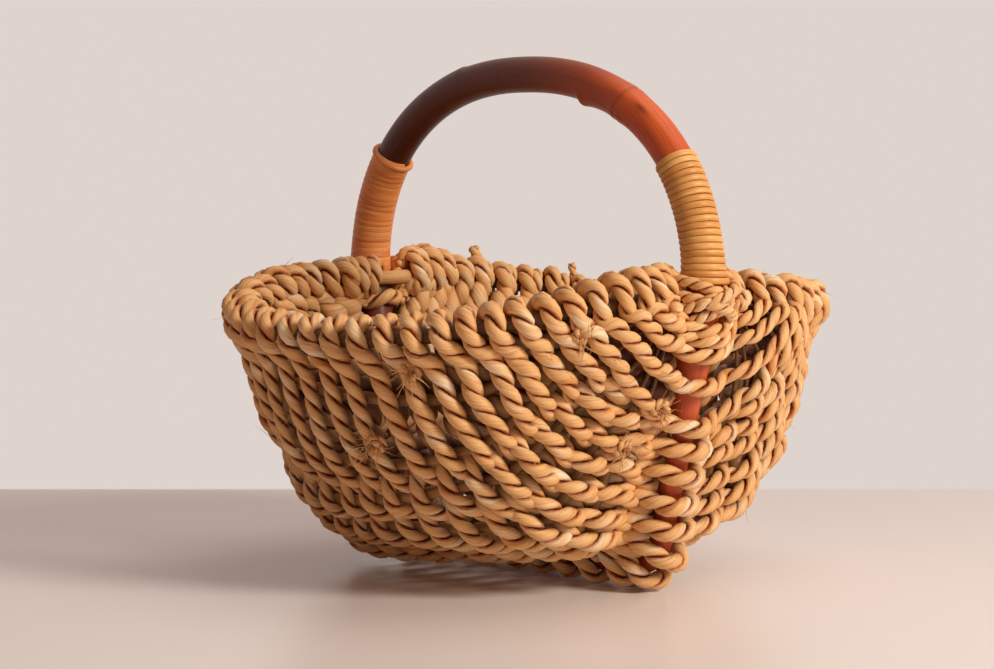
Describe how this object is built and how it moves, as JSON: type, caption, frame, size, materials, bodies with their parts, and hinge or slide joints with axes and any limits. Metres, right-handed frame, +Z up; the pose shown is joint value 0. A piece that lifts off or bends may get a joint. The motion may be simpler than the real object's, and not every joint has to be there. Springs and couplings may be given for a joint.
{
  "type": "gathering basket",
  "caption": "Small rib basket of twisted seagrass cord woven over rattan ribs, with a rolled rim and one bent rattan pole that is both handle and keel, bound with cane.",
  "frame": {"origin": "centre of the bounding box's base, on the floor under the middle of the handle", "axes": "+X through both crossings of handle and rim, towards the end with the lighter binding; +Y across the handle; +Z up"},
  "size_m": [0.2424, 0.2662, 0.23],
  "materials": {
    "rattan_pole": "gloss",
    "rattan_rod": "satin",
    "seagrass_cord": "matte",
    "cane_binding": "satin"
  },
  "bodies": {
    "root": {"handle_hoop": "rattan_pole", "rim_hoop": "rattan_rod", "woven_wall": "seagrass_cord", "binding_left": "cane_binding", "binding_right": "cane_binding", "lashing_left": "seagrass_cord", "lashing_right": "seagrass_cord", "rib_near_1": "rattan_rod", "rib_near_2": "rattan_rod", "rib_near_3": "rattan_rod", "rib_near_4": "rattan_rod", "rib_near_5": "rattan_rod", "rib_far_1": "rattan_rod", "rib_far_2": "rattan_rod", "rib_far_3": "rattan_rod", "rib_far_4": "rattan_rod", "rib_far_5": "rattan_rod"}
  },
  "joints": []
}
